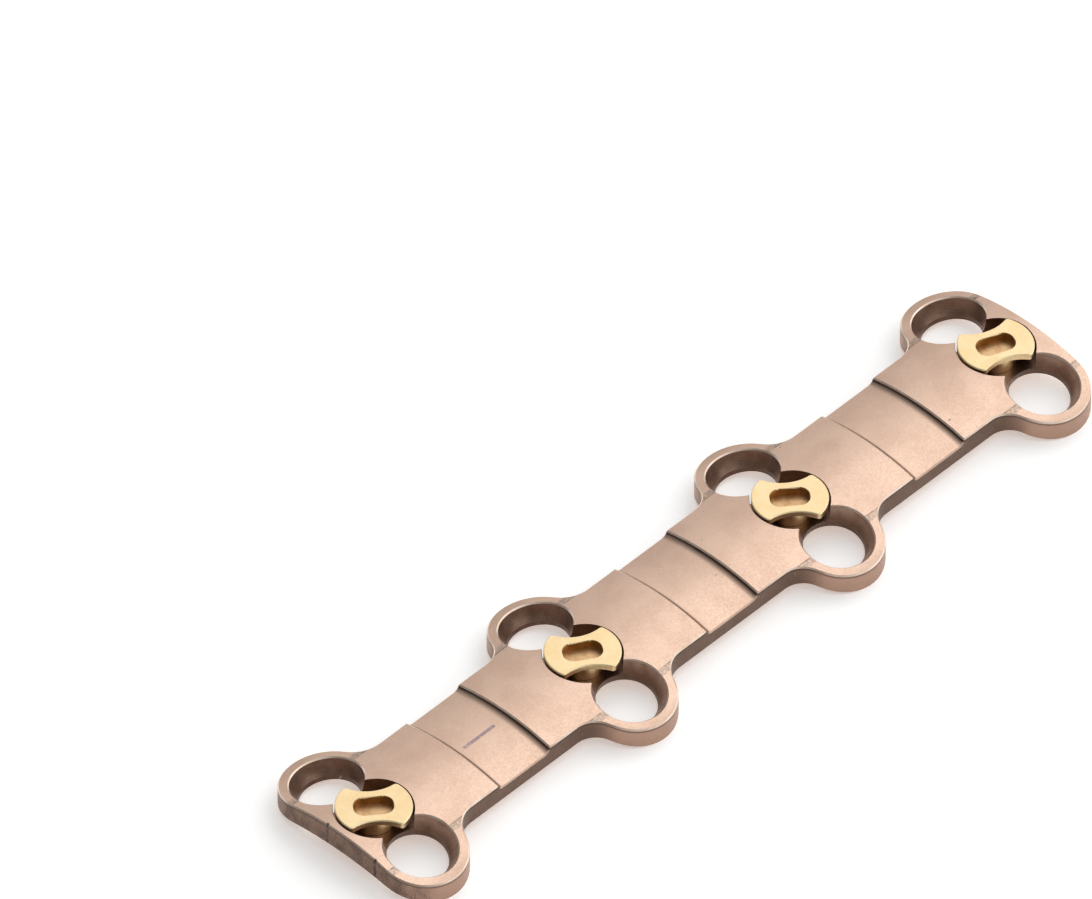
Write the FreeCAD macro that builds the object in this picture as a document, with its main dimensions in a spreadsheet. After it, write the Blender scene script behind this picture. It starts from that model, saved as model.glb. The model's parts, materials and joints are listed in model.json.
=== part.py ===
import FreeCAD, Part

import math
import os

import Sketcher
from FreeCAD import Placement, Rotation, Vector

# An anterior cervical bone plate with a turning lock cam at each of its levels.
#
# The frame is in millimetres. X runs along the spine, Y across it and Z away from
# the bone. The origin is under the middle of the plate, on the plane that its
# lowest bone-side edges rest on. Each level has two screw holes, one on each side,
# and one cam between them that turns over the screw heads to lock them.

# Driving dimensions
# Each row is a name, a plain number in millimetres or degrees, and what it is.

SIZES = (
    ("level_pitch", 23.333, "distance from one level to the next"),
    ("hole_offset", 5.07, "screw hole centre from the middle line"),
    ("lobe_radius", 3.8, "outer radius of the lobe round a screw hole"),
    ("waist_half", 4.95, "half width of the plate between two levels"),
    ("flank_radius", 2.3, "hollow radius where a lobe runs into the waist"),
    ("thickness", 2.1, "plate thickness on the middle line"),
    ("crown_radius", 20.5, "radius of the domed outer face, seen along X"),
    ("bone_radius", 32.0, "radius of the hollow bone face, seen along X"),
    ("facet_start", 5.2, "where the dome ends and the flat lobe facet begins"),
    ("screw_tilt", 12.0, "lean of each screw axis and its lobe facet"),
    ("seat_radius", 3.0, "radius of the ball seat for a screw head"),
    ("seat_rise", 0.3, "height of the ball seat centre over the facet"),
    ("bore_radius", 2.47, "radius of the screw hole under its seat"),
    ("pocket_radius", 3.22, "radius of the round pocket for a cam"),
    ("pocket_depth", 1.5, "depth of the cam pocket below the crown"),
    ("recess_length", 5.8, "length of the thin bend zone between levels"),
    ("recess_depth", 0.45, "depth of the bend zone below the crown"),
    ("recess_fillet", 0.6, "hollow radius at each end of the bend zone"),
    ("edge_break", 0.1, "small bevel that takes the sharpness off an edge"),
    ("stem_bore_radius", 1.15, "radius of the hole for a cam stem"),
    ("sink_depth", 0.4, "depth of the 45 degree sink at the back of that hole"),
    ("cam_gap", 0.17, "gap between a cam and the wall of its pocket"),
    ("cam_proud", 0.18, "height of a cam over the crown"),
    ("flange_thickness", 0.5, "thickness of the cam flange"),
    ("boss_radius", 1.6, "radius of the cam boss under the flange"),
    ("scallop_gap", 0.42, "how much wider a scallop is than the ball seat"),
    ("cam_corner", 0.3, "round on the four corners of the cam flange"),
    ("cam_edge", 0.08, "bevel on the top edges of a cam"),
    ("slot_length", 3.05, "length of the driver slot"),
    ("slot_width", 1.85, "width of the driver slot"),
    ("slot_corner", 0.8, "corner radius of the driver slot"),
    ("slot_depth", 0.75, "depth of the driver slot"),
    ("stem_clearance", 0.04, "running clearance round the cam stem"),
    ("axial_play", 0.03, "play between the cam boss and the pocket floor"),
    ("stock", 1.0, "spare material that the cutters remove"),
)

# How far each cam stands turned, clockwise from the open position, in degrees.
CAM_TURNS = (39.0, 33.0, 38.0, 21.0)

doc = FreeCAD.newDocument("bone_plate")
sheet = doc.addObject("Spreadsheet::Sheet", "Sizes")


def fill_sheet():
    """Write every driving dimension into the sheet as text, with its alias."""
    rows = list(SIZES)
    for level, turn in enumerate(CAM_TURNS, start=1):
        rows.append((f"cam_turn_{level}", turn, "clockwise turn of this cam"))
    for row, (name, value, meaning) in enumerate(rows, start=1):
        sheet.set(f"A{row}", name)
        sheet.set(f"B{row}", str(value))
        sheet.set(f"C{row}", meaning)
        sheet.setAlias(f"B{row}", name)
    doc.recompute()


fill_sheet()

# Derived sizes
# Each is an expression over the sheet, so every feature follows its cells.

HALF_WIDTH = "(Sizes.hole_offset + Sizes.lobe_radius)"
BONE_REACH = f"({HALF_WIDTH} - Sizes.edge_break)"
BONE_SAG = f"(Sizes.bone_radius - sqrt(Sizes.bone_radius ^ 2 - {BONE_REACH} ^ 2))"
CROWN_Z = f"(Sizes.thickness + {BONE_SAG})"
FLOOR_Z = f"({CROWN_Z} - Sizes.pocket_depth)"
BACK_Z = f"({CROWN_Z} - Sizes.thickness)"
FACET_START_Z = (
    f"({CROWN_Z} - Sizes.crown_radius"
    " + sqrt(Sizes.crown_radius ^ 2 - Sizes.facet_start ^ 2))"
)
FACET_Z = (
    f"({FACET_START_Z}"
    " + tan(Sizes.screw_tilt) * (Sizes.facet_start - Sizes.hole_offset))"
)
LEVELS = len(CAM_TURNS)
FIRST_LEVEL_X = f"(-{LEVELS - 1} * Sizes.level_pitch / 2)"
HALF_LENGTH = f"({LEVELS - 1} * Sizes.level_pitch / 2 + Sizes.lobe_radius)"
PLATE_FLOOR = "(Sizes.thickness - Sizes.pocket_depth)"
CAM_TOP = "(Sizes.pocket_depth + Sizes.cam_proud)"


def number(expression):
    """The present value of an expression over the sheet."""
    value = sheet.evalExpression(expression)
    return float(getattr(value, "Value", value))


def level_x(level):
    """Expression for the X of a level, counted from 1 at the low end."""
    return f"({FIRST_LEVEL_X} + {level - 1} * Sizes.level_pitch)"


# How far a face may look up or down and still count as a top, a wall or upright:
# the upward part of its unit normal, from 0 for upright to 1 for level.
TOP_FACE_TILT = 0.85
WALL_TILT = 0.4
UPRIGHT_TILT = 0.01

# Sketch helpers


def new_sketch(body, name, role, shift=("0", "0", "0"), turn=None):
    """A sketch on one of the body's origin planes, shifted in its own axes."""
    sketch = body.newObject("Sketcher::SketchObject", name)
    plane = next(part for part in body.Origin.OriginFeatures if part.Role == role)
    sketch.AttachmentSupport = [(plane, "")]
    sketch.MapMode = "FlatFace"
    if turn is not None:
        sketch.AttachmentOffset = Placement(Vector(), Rotation(Vector(0, 0, 1), 1))
        sketch.setExpression("AttachmentOffset.Rotation.Angle", turn)
    for axis, expression in zip("xyz", shift):
        if expression != "0":
            sketch.setExpression(f"AttachmentOffset.Base.{axis}", expression)
    return sketch


def bind(sketch, constraint, expression):
    """Add a dimension to the sketch and tie it to an expression."""
    index = sketch.addConstraint(constraint)
    name = f"size_{index}"
    sketch.renameConstraint(index, name)
    sketch.setExpression(f"Constraints.{name}", expression)


def pin(sketch, geometry, end, across=None, up=None):
    """Hold one point of a shape at a place given by two expressions."""
    if across == "0":
        sketch.addConstraint(Sketcher.Constraint("PointOnObject", geometry, end, -2))
    elif across is not None:
        value = number(across)
        rule = Sketcher.Constraint("DistanceX", -1, 1, geometry, end, value)
        bind(sketch, rule, across)
    if up == "0":
        sketch.addConstraint(Sketcher.Constraint("PointOnObject", geometry, end, -1))
    elif up is not None:
        value = number(up)
        rule = Sketcher.Constraint("DistanceY", -1, 1, geometry, end, value)
        bind(sketch, rule, up)


def add_line(sketch, start, end):
    """A straight edge between two points given as numbers."""
    return sketch.addGeometry(Part.LineSegment(Vector(*start, 0), Vector(*end, 0)))


def add_arc(sketch, centre, radius, start, end):
    """An arc that runs counterclockwise between two angles in radians."""
    circle = Part.Circle(Vector(*centre, 0), Vector(0, 0, 1), radius)
    return sketch.addGeometry(Part.ArcOfCircle(circle, start, end))


def join(sketch, first, first_end, second, second_end, kind="Coincident"):
    """Close two edges at their ends, smoothly where kind is Tangent."""
    rule = Sketcher.Constraint(kind, first, first_end, second, second_end)
    sketch.addConstraint(rule)


def polygon(sketch, corners):
    """A closed outline of straight edges through corners given as expressions."""
    places = [(number(across), number(up)) for across, up in corners]
    lines = []
    for index, place in enumerate(places):
        lines.append(add_line(sketch, place, places[(index + 1) % len(places)]))
    for index, (across, up) in enumerate(corners):
        join(sketch, lines[index - 1], 2, lines[index], 1)
        pin(sketch, lines[index], 1, across, up)
    return lines


def open_polygon(sketch, corners):
    """A chain of straight edges through corners given as expressions."""
    places = [(number(across), number(up)) for across, up in corners]
    lines = []
    for start, end in zip(places[:-1], places[1:]):
        lines.append(add_line(sketch, start, end))
    for first, second in zip(lines[:-1], lines[1:]):
        join(sketch, first, 2, second, 1)
    for line, (across, up) in zip(lines, corners):
        pin(sketch, line, 1, across, up)
    pin(sketch, lines[-1], 2, *corners[-1])
    return lines


def cut_through(body, name, sketch, length):
    """Pocket a sketch by the same depth on both sides of its plane."""
    pocket = body.newObject("PartDesign::Pocket", name)
    pocket.Profile = sketch
    pocket.SideType = "Symmetric"
    pocket.setExpression("Length", length)
    return pocket


def cut_down(body, name, sketch, depth):
    """Pocket a sketch downwards from its plane."""
    pocket = body.newObject("PartDesign::Pocket", name)
    pocket.Profile = sketch
    pocket.setExpression("Length", depth)
    return pocket


def turn_out(body, name, sketch, axis):
    """Groove a sketch all the way round one of its own axes."""
    groove = body.newObject("PartDesign::Groove", name)
    groove.Profile = sketch
    groove.ReferenceAxis = (sketch, [axis])
    groove.Angle = 360
    return groove


def repeat_along_x(body, name, features, count):
    """Repeat features at the level pitch."""
    pattern = body.newObject("PartDesign::LinearPattern", name)
    pattern.Originals = features
    x_axis = next(part for part in body.Origin.OriginFeatures if part.Role == "X_Axis")
    pattern.Direction = (x_axis, [""])
    pattern.Mode = "Spacing"
    pattern.setExpression("Offset", "Sizes.level_pitch")
    pattern.Occurrences = count
    body.Tip = pattern
    return pattern


def break_edges(body, name, base, wanted, size, kind="PartDesign::Chamfer"):
    """Bevel or round every edge of base that the test picks."""
    doc.recompute()
    names = []
    for index, edge in enumerate(base.Shape.Edges, start=1):
        if wanted(base.Shape, edge):
            names.append(f"Edge{index}")
    dress = body.newObject(kind, name)
    dress.Base = (base, names)
    target = "Size" if kind == "PartDesign::Chamfer" else "Radius"
    dress.setExpression(target, size)
    return dress


# Plate


def half_outline(body):
    """The plate seen from above, on one side of its middle line."""
    sketch = new_sketch(body, "half_outline", "XY_Plane", ("0", "0", "-Sizes.stock"))
    side = number("Sizes.hole_offset")
    lobe = number("Sizes.lobe_radius")
    waist = number("Sizes.waist_half")
    flank = number("Sizes.flank_radius")
    end_x = number(HALF_LENGTH)
    rise = waist + flank - side
    reach = math.sqrt((lobe + flank) ** 2 - rise**2)
    touch = math.atan2(rise, reach)

    base = add_line(sketch, (end_x, 0), (-end_x, 0))
    low_end = add_line(sketch, (-end_x, 0), (-end_x, side))
    join(sketch, base, 2, low_end, 1)
    pin(sketch, low_end, 1, None, "0")
    sketch.addConstraint(Sketcher.Constraint("Horizontal", base))
    sketch.addConstraint(Sketcher.Constraint("Vertical", low_end))
    previous = (low_end, 2)

    for level in range(1, LEVELS + 1):
        centre = number(level_x(level))
        first = level == 1
        last = level == LEVELS
        right = 0.0 if last else touch
        left = math.pi if first else math.pi - touch
        lobe_arc = add_arc(sketch, (centre, side), lobe, right, left)
        join(sketch, previous[0], previous[1], lobe_arc, 2, "Tangent")
        pin(sketch, lobe_arc, 3, level_x(level), "Sizes.hole_offset")
        rule = Sketcher.Constraint("Radius", lobe_arc, lobe)
        bind(sketch, rule, "Sizes.lobe_radius")
        previous = (lobe_arc, 1)
        if last:
            continue

        following = number(level_x(level + 1))
        low_x = centre + reach
        high_x = following - reach
        low_flank = add_arc(
            sketch, (low_x, waist + flank), flank, math.pi + touch, 1.5 * math.pi
        )
        waist_line = add_line(sketch, (low_x, waist), (high_x, waist))
        high_flank = add_arc(
            sketch, (high_x, waist + flank), flank, 1.5 * math.pi, 2 * math.pi - touch
        )
        join(sketch, lobe_arc, 1, low_flank, 1, "Tangent")
        join(sketch, low_flank, 2, waist_line, 1, "Tangent")
        join(sketch, waist_line, 2, high_flank, 1, "Tangent")
        sketch.addConstraint(Sketcher.Constraint("Horizontal", waist_line))
        pin(sketch, waist_line, 1, None, "Sizes.waist_half")
        for arc in (low_flank, high_flank):
            rule = Sketcher.Constraint("Radius", arc, flank)
            bind(sketch, rule, "Sizes.flank_radius")
        previous = (high_flank, 2)

    high_end = add_line(sketch, (end_x, side), (end_x, 0))
    join(sketch, previous[0], previous[1], high_end, 1, "Tangent")
    join(sketch, high_end, 2, base, 1)
    sketch.addConstraint(Sketcher.Constraint("Vertical", high_end))
    return sketch


def crown_profile(body):
    """What is milled off over the domed outer face and its two flat facets."""
    sketch = new_sketch(body, "crown_profile", "YZ_Plane")
    edge = f"({HALF_WIDTH} + Sizes.stock)"
    edge_z = (
        f"({FACET_START_Z} - tan(Sizes.screw_tilt) * ({edge} - Sizes.facet_start))"
    )
    top = f"({CROWN_Z} + 2 * Sizes.stock)"
    radius = number("Sizes.crown_radius")
    half_angle = math.asin(number("Sizes.facet_start") / radius)
    centre_z = f"({CROWN_Z} - Sizes.crown_radius)"
    corners = (
        ("Sizes.facet_start", FACET_START_Z),
        (edge, edge_z),
        (edge, top),
        (f"(-{edge})", top),
        (f"(-{edge})", edge_z),
        ("(-Sizes.facet_start)", FACET_START_Z),
    )
    lines = open_polygon(sketch, corners)
    crown = add_arc(
        sketch,
        (0, number(centre_z)),
        radius,
        math.pi / 2 - half_angle,
        math.pi / 2 + half_angle,
    )
    join(sketch, crown, 1, lines[0], 1)
    join(sketch, crown, 2, lines[-1], 2)
    bind(
        sketch, Sketcher.Constraint("Radius", crown, radius), "Sizes.crown_radius"
    )
    return sketch


def bone_profile(body):
    """What is milled off under the hollow bone face."""
    sketch = new_sketch(body, "bone_profile", "YZ_Plane")
    edge = f"({HALF_WIDTH} + Sizes.stock)"
    centre_z = f"({BACK_Z} - Sizes.bone_radius)"
    edge_z = f"({centre_z} + sqrt(Sizes.bone_radius ^ 2 - {edge} ^ 2))"
    low = "(-3 * Sizes.stock)"
    radius = number("Sizes.bone_radius")
    half_angle = math.asin(number(edge) / radius)
    corners = (
        (f"(-{edge})", edge_z),
        (f"(-{edge})", low),
        (edge, low),
        (edge, edge_z),
    )
    lines = open_polygon(sketch, corners)
    hollow = add_arc(
        sketch,
        (0, number(centre_z)),
        radius,
        math.pi / 2 - half_angle,
        math.pi / 2 + half_angle,
    )
    join(sketch, hollow, 1, lines[-1], 2)
    join(sketch, hollow, 2, lines[0], 1)
    bind(
        sketch, Sketcher.Constraint("Radius", hollow, radius), "Sizes.bone_radius"
    )
    return sketch


def screw_profile(body, side):
    """Half section of a screw hole about its own leaning axis.

    A ball seat for the head runs down into a plain bore. Side is 1 or -1.
    """
    word = "right" if side > 0 else "left"
    sketch = new_sketch(
        body,
        f"screw_profile_{word}",
        "YZ_Plane",
        (f"({side} * Sizes.hole_offset)", FACET_Z, FIRST_LEVEL_X),
        f"({-side} * Sizes.screw_tilt)",
    )
    seat = number("Sizes.seat_radius")
    rise = number("Sizes.seat_rise")
    foot = "(Sizes.seat_rise - sqrt(Sizes.seat_radius ^ 2 - Sizes.bore_radius ^ 2))"
    lip_drop = "(Sizes.seat_rise + Sizes.edge_break)"
    lip_radius = f"sqrt(Sizes.seat_radius ^ 2 - {lip_drop} ^ 2)"
    top = "(2 * Sizes.stock)"
    low = "(-Sizes.thickness - Sizes.stock)"
    lines = open_polygon(
        sketch,
        (
            ("Sizes.bore_radius", foot),
            ("Sizes.bore_radius", low),
            ("0", low),
            ("0", top),
            (f"({lip_radius} + Sizes.edge_break + {top})", top),
            (f"({lip_radius})", "(-Sizes.edge_break)"),
        ),
    )
    foot_angle = -math.acos(number("Sizes.bore_radius") / seat)
    lip_angle = -math.asin(number(lip_drop) / seat)
    ball = add_arc(sketch, (0, rise), seat, foot_angle, lip_angle)
    join(sketch, ball, 1, lines[0], 1)
    join(sketch, ball, 2, lines[-1], 2)
    bind(sketch, Sketcher.Constraint("Radius", ball, seat), "Sizes.seat_radius")
    return sketch


def cam_seat_profile(body):
    """Half section of a cam's pocket, its stem hole and the sink behind it."""
    sketch = new_sketch(
        body, "cam_seat_profile", "XZ_Plane", (FIRST_LEVEL_X, "0", "0")
    )
    sink_radius = "(Sizes.stem_bore_radius + Sizes.sink_depth)"
    polygon(
        sketch,
        (
            ("0", f"({CROWN_Z} + Sizes.stock)"),
            ("0", "(-Sizes.stock)"),
            (sink_radius, "(-Sizes.stock)"),
            (sink_radius, BACK_Z),
            ("Sizes.stem_bore_radius", f"({BACK_Z} + Sizes.sink_depth)"),
            ("Sizes.stem_bore_radius", FLOOR_Z),
            ("Sizes.pocket_radius", FLOOR_Z),
            ("Sizes.pocket_radius", f"({CROWN_Z} + Sizes.stock)"),
        ),
    )
    return sketch


def recess_profile(body):
    """Half section of a bend zone about the axis of the crown."""
    middle = f"({FIRST_LEVEL_X} + Sizes.level_pitch / 2)"
    sketch = new_sketch(
        body,
        "recess_profile",
        "XZ_Plane",
        (middle, f"({CROWN_Z} - Sizes.crown_radius)", "0"),
    )
    half = "(Sizes.recess_length / 2)"
    floor = "(Sizes.crown_radius - Sizes.recess_depth)"
    top = "(Sizes.crown_radius + 2 * Sizes.stock)"
    fillet = number("Sizes.recess_fillet")
    x_end = number(half)
    x_flat = x_end - fillet
    z_floor = number(floor)
    z_wall = z_floor + fillet
    z_top = number(top)
    floor_line = add_line(sketch, (-x_flat, z_floor), (x_flat, z_floor))
    high_arc = add_arc(sketch, (x_flat, z_wall), fillet, 1.5 * math.pi, 2 * math.pi)
    high_wall = add_line(sketch, (x_end, z_wall), (x_end, z_top))
    roof = add_line(sketch, (x_end, z_top), (-x_end, z_top))
    low_wall = add_line(sketch, (-x_end, z_top), (-x_end, z_wall))
    low_arc = add_arc(sketch, (-x_flat, z_wall), fillet, math.pi, 1.5 * math.pi)
    join(sketch, floor_line, 2, high_arc, 1, "Tangent")
    join(sketch, high_arc, 2, high_wall, 1, "Tangent")
    join(sketch, high_wall, 2, roof, 1)
    join(sketch, roof, 2, low_wall, 1)
    join(sketch, low_wall, 2, low_arc, 1, "Tangent")
    join(sketch, low_arc, 2, floor_line, 1, "Tangent")
    for wall in (high_wall, low_wall):
        sketch.addConstraint(Sketcher.Constraint("Vertical", wall))
    pin(sketch, roof, 1, half, top)
    pin(sketch, roof, 2, f"(-{half})", top)
    pin(sketch, floor_line, 1, None, floor)
    for arc in (high_arc, low_arc):
        rule = Sketcher.Constraint("Radius", arc, fillet)
        bind(sketch, rule, "Sizes.recess_fillet")
    return sketch


def neighbour_tilts(shape, edge):
    """How far the faces on either side of an edge look up, from -1 to 1."""
    point = edge.valueAt((edge.FirstParameter + edge.LastParameter) / 2)
    tilts = []
    for face in shape.ancestorsOfType(edge, Part.Face):
        normal = face.normalAt(*face.Surface.parameter(point))
        tilts.append(normal.z)
    return sorted(tilts)


def distance_to_hole(point):
    """Plan distance from a point to the nearest pocket wall or screw seat wall."""
    gaps = []
    for level in range(1, LEVELS + 1):
        along = point.x - number(level_x(level))
        across = abs(point.y)
        pocket_gap = math.hypot(along, across) - number("Sizes.pocket_radius")
        seat_side = across - number("Sizes.hole_offset")
        seat_gap = math.hypot(along, seat_side) - number("Sizes.seat_radius")
        gaps += [pocket_gap, seat_gap]
    return min(gaps)


def outer_rim(shape, edge):
    """Edges where the outer face meets a wall of the outline or of a bend zone."""
    tilts = neighbour_tilts(shape, edge)
    middle = edge.valueAt((edge.FirstParameter + edge.LastParameter) / 2)
    clear_of_holes = distance_to_hole(middle) > 2 * number("Sizes.edge_break")
    return (
        tilts[-1] > TOP_FACE_TILT and abs(tilts[0]) < WALL_TILT and clear_of_holes
    )


def bone_rim(shape, edge):
    """Edges of the outline where the bone face meets a wall."""
    tilts = neighbour_tilts(shape, edge)
    return tilts[0] < -TOP_FACE_TILT and abs(tilts[-1]) < UPRIGHT_TILT


def build_plate():
    """Mill the plate out of a bar that has its outline."""
    body = doc.addObject("PartDesign::Body", "plate")
    body.Label = "plate"
    y_plane = next(part for part in body.Origin.OriginFeatures if part.Role == "XZ_Plane")

    half = body.newObject("PartDesign::Pad", "half_blank")
    half.Profile = half_outline(body)
    half.setExpression("Length", f"{CROWN_Z} + 2 * Sizes.stock")
    blank = body.newObject("PartDesign::Mirrored", "blank")
    blank.Originals = [half]
    blank.MirrorPlane = (y_plane, [""])
    body.Tip = blank

    whole_length = f"2 * ({HALF_LENGTH} + Sizes.stock)"
    cut_through(body, "crown_cut", crown_profile(body), whole_length)
    hollow = cut_through(body, "bone_cut", bone_profile(body), whole_length)
    break_edges(body, "bone_bevels", hollow, bone_rim, "Sizes.edge_break")

    cam_seat = turn_out(body, "cam_seat", cam_seat_profile(body), "V_Axis")
    repeat_along_x(body, "cam_seats", [cam_seat], LEVELS)

    screw_seats = [
        turn_out(body, "screw_seat_right", screw_profile(body, 1), "V_Axis"),
        turn_out(body, "screw_seat_left", screw_profile(body, -1), "V_Axis"),
    ]
    repeat_along_x(body, "screw_seats", screw_seats, LEVELS)

    recess = turn_out(body, "bend_zone", recess_profile(body), "H_Axis")
    zones = repeat_along_x(body, "bend_zones", [recess], LEVELS - 1)
    break_edges(body, "outer_bevels", zones, outer_rim, "Sizes.edge_break")
    return body


# Cams


def build_cam(level):
    """One lock cam: a scalloped flange on a boss, with a stem swaged at the back."""
    name = f"lock_cam_{level}"
    body = doc.addObject("PartDesign::Body", name)
    body.Label = name

    turned = new_sketch(body, f"{name}_section", "XZ_Plane")
    cam_radius = "(Sizes.pocket_radius - Sizes.cam_gap)"
    stem_radius = "(Sizes.stem_bore_radius - Sizes.stem_clearance)"
    under_flange = f"({CAM_TOP} - Sizes.flange_thickness)"
    sink_start = f"(-{PLATE_FLOOR} + Sizes.sink_depth - Sizes.stem_clearance)"
    flare_radius = (
        "(Sizes.stem_bore_radius + Sizes.sink_depth - 2 * Sizes.stem_clearance)"
    )
    polygon(
        turned,
        (
            ("0", CAM_TOP),
            ("0", f"(-{PLATE_FLOOR})"),
            (flare_radius, f"(-{PLATE_FLOOR})"),
            (stem_radius, sink_start),
            (stem_radius, "Sizes.axial_play"),
            ("Sizes.boss_radius", "Sizes.axial_play"),
            ("Sizes.boss_radius", under_flange),
            (cam_radius, under_flange),
            (cam_radius, CAM_TOP),
        ),
    )
    solid = body.newObject("PartDesign::Revolution", f"{name}_turned")
    solid.Profile = turned
    solid.ReferenceAxis = (turned, ["V_Axis"])
    solid.Angle = 360

    scallops = new_sketch(body, f"{name}_scallops", "XY_Plane", ("0", "0", CAM_TOP))
    scallop_radius = "(Sizes.seat_radius + Sizes.scallop_gap)"
    for side in (1, -1):
        across = number("Sizes.hole_offset") * side
        circle = scallops.addGeometry(
            Part.Circle(Vector(0, across, 0), Vector(0, 0, 1), number(scallop_radius))
        )
        pin(scallops, circle, 3, "0", f"({side} * Sizes.hole_offset)")
        rule = Sketcher.Constraint("Radius", circle, number(scallop_radius))
        bind(scallops, rule, scallop_radius)
    flanks = cut_down(body, f"{name}_flanks", scallops, "Sizes.flange_thickness")

    def flange_corner(shape, edge):
        """Upright edges where a scallop leaves the rim of the flange."""
        box = edge.BoundBox
        upright = box.XLength < 1e-4 and box.YLength < 1e-4
        outside = math.hypot(box.XMin, box.YMin) > number(cam_radius) - 0.01
        straight = isinstance(edge.Curve, Part.Line)
        apart = abs(box.YMin) > 1e-3
        return straight and upright and outside and apart

    rounded = break_edges(
        body, f"{name}_corners", flanks, flange_corner,
        "Sizes.cam_corner", "PartDesign::Fillet",
    )

    slot = driver_slot(body, name)
    slotted = cut_down(body, f"{name}_slot", slot, "Sizes.slot_depth")

    top = number(CAM_TOP)

    def top_edge(shape, edge):
        """Edges that lie in the cam's top face."""
        box = edge.BoundBox
        return abs(box.ZMin - top) < 1e-4 and abs(box.ZMax - top) < 1e-4

    break_edges(body, f"{name}_bevel", slotted, top_edge, "Sizes.cam_edge")

    body.Placement = Placement(Vector(), Rotation(Vector(0, 0, 1), 1))
    body.setExpression("Placement.Base.x", level_x(level))
    body.setExpression("Placement.Base.z", FLOOR_Z)
    body.setExpression("Placement.Rotation.Angle", f"-Sizes.cam_turn_{level}")
    return body


def driver_slot(body, name):
    """A rounded rectangle across the cam, square to the line of its scallops."""
    sketch = new_sketch(body, f"{name}_slot_outline", "XY_Plane", ("0", "0", CAM_TOP))
    half_x = "(Sizes.slot_length / 2)"
    half_y = "(Sizes.slot_width / 2)"
    corner = number("Sizes.slot_corner")
    x_end = number(half_x)
    y_end = number(half_y)
    x_flat = x_end - corner
    y_flat = y_end - corner
    quarter = math.pi / 2
    edges = []
    for turn, (x_sign, y_sign) in enumerate(((1, 1), (-1, 1), (-1, -1), (1, -1))):
        centre = (x_sign * x_flat, y_sign * y_flat)
        arc = add_arc(sketch, centre, corner, turn * quarter, (turn + 1) * quarter)
        rule = Sketcher.Constraint("Radius", arc, corner)
        bind(sketch, rule, "Sizes.slot_corner")
        edges.append(arc)
    top = add_line(sketch, (x_flat, y_end), (-x_flat, y_end))
    left = add_line(sketch, (-x_end, y_flat), (-x_end, -y_flat))
    bottom = add_line(sketch, (-x_flat, -y_end), (x_flat, -y_end))
    right = add_line(sketch, (x_end, -y_flat), (x_end, y_flat))
    lines = (top, left, bottom, right)
    for index, line in enumerate(lines):
        join(sketch, edges[index], 2, line, 1, "Tangent")
        join(sketch, line, 2, edges[(index + 1) % 4], 1, "Tangent")
    for line in (top, bottom):
        sketch.addConstraint(Sketcher.Constraint("Horizontal", line))
    for line in (left, right):
        sketch.addConstraint(Sketcher.Constraint("Vertical", line))
    pin(sketch, top, 1, None, half_y)
    pin(sketch, bottom, 1, None, f"(-{half_y})")
    pin(sketch, left, 1, f"(-{half_x})", None)
    pin(sketch, right, 1, half_x, None)
    return sketch


plate = build_plate()
cams = [build_cam(level) for level in range(1, LEVELS + 1)]
doc.recompute()

# Check and export

for item in doc.Objects:
    if "Invalid" in item.State or "Error" in item.State:
        raise RuntimeError(f"{item.Name} failed: {item.State}")

os.makedirs("parts", exist_ok=True)
for body in [plate] + cams:
    shape = body.Shape
    if shape.isNull() or not shape.isValid() or len(shape.Solids) != 1:
        raise RuntimeError(f"{body.Label} is not one valid solid")
    shape.exportStep(f"parts/{body.Label}.step")
    print(body.Label, round(shape.Volume, 3), "cubic mm", len(shape.Faces), "faces")
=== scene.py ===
import json
import math

import bpy
import numpy as np
from bpy.props import FloatProperty, FloatVectorProperty, PointerProperty, StringProperty
from bpy.types import Operator, Panel, PropertyGroup
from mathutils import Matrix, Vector


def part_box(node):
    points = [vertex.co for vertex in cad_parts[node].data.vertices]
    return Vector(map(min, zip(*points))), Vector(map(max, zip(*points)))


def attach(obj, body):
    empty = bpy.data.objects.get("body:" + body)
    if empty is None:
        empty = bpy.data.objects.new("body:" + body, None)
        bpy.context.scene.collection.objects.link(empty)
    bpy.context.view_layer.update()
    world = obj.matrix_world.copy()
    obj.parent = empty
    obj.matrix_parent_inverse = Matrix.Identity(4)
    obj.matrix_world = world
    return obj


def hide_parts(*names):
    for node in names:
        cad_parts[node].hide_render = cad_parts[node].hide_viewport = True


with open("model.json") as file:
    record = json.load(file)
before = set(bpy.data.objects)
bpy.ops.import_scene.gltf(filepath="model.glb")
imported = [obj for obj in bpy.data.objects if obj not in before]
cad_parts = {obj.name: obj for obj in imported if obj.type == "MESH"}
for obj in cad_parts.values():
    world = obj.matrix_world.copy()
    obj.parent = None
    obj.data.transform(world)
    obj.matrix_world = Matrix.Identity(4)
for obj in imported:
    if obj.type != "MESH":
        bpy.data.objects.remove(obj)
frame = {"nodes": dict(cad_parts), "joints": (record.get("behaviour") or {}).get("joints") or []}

bl_info = {
    "name": "Cervical bone plate",
    "version": (1, 0, 0),
    "blender": (4, 5, 0),
    "location": "View3D > Sidebar > Bone plate",
    "description": "A milled titanium bone plate with its turning lock cams",
    "category": "Add Mesh",
}

MM = 0.001
JOINTS = frame["joints"]
LEVEL_X = np.array([joint["pos_m"][0] for joint in JOINTS])
CROWN_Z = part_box("plate")[1].z
CAM_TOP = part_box("lock_cam_1")[1].z

# Widest angle between two faces that still shade as one smooth surface.
SMOOTH_ANGLE = math.radians(28)
# Edges sharper than this get a small round.
SHARP_ANGLE = math.radians(50)

# Where wear and marks lie on the plate. A band is its middle, half width and soft edge,
# and a fade is where it begins and where it ends.

# Greyer band and fine crease where the dome meets the lobe facets, by distance from X.
SEAM_BAND = (5.42 * MM, 0.26 * MM, 0.12 * MM)
CREASE_BAND = (5.16 * MM, 0.02 * MM, 0.05 * MM)
# The lobe facets are darkened a little towards their outer edge, as painted shade.
FACET_SHADE_FADE = (7.4 * MM, 8.9 * MM)
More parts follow.
